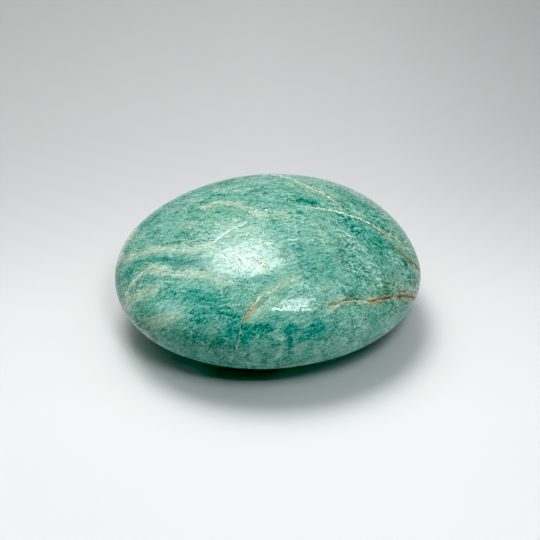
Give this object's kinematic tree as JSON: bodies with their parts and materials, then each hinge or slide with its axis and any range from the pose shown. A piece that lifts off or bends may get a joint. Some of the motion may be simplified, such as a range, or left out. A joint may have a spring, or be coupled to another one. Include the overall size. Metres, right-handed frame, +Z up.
{
  "type": "tumbled amazonite",
  "caption": "Flattened oval stone with a rounded rim, polished all over. It lies on a broad side as a palm stone, a paperweight or an ornament.",
  "frame": {"origin": "on the resting surface, under the middle of the stone's outline", "axes": "+X along the stone's length, +Y across it, +Z up through its thickness"},
  "size_m": [0.0702, 0.0556, 0.0288],
  "materials": {
    "polished_amazonite": "semi-gloss polish on blue-green feldspar, streaked with pale albite, cream bands and iron-stained veins"
  },
  "bodies": {
    "root": {"stone": "polished_amazonite"}
  },
  "joints": []
}
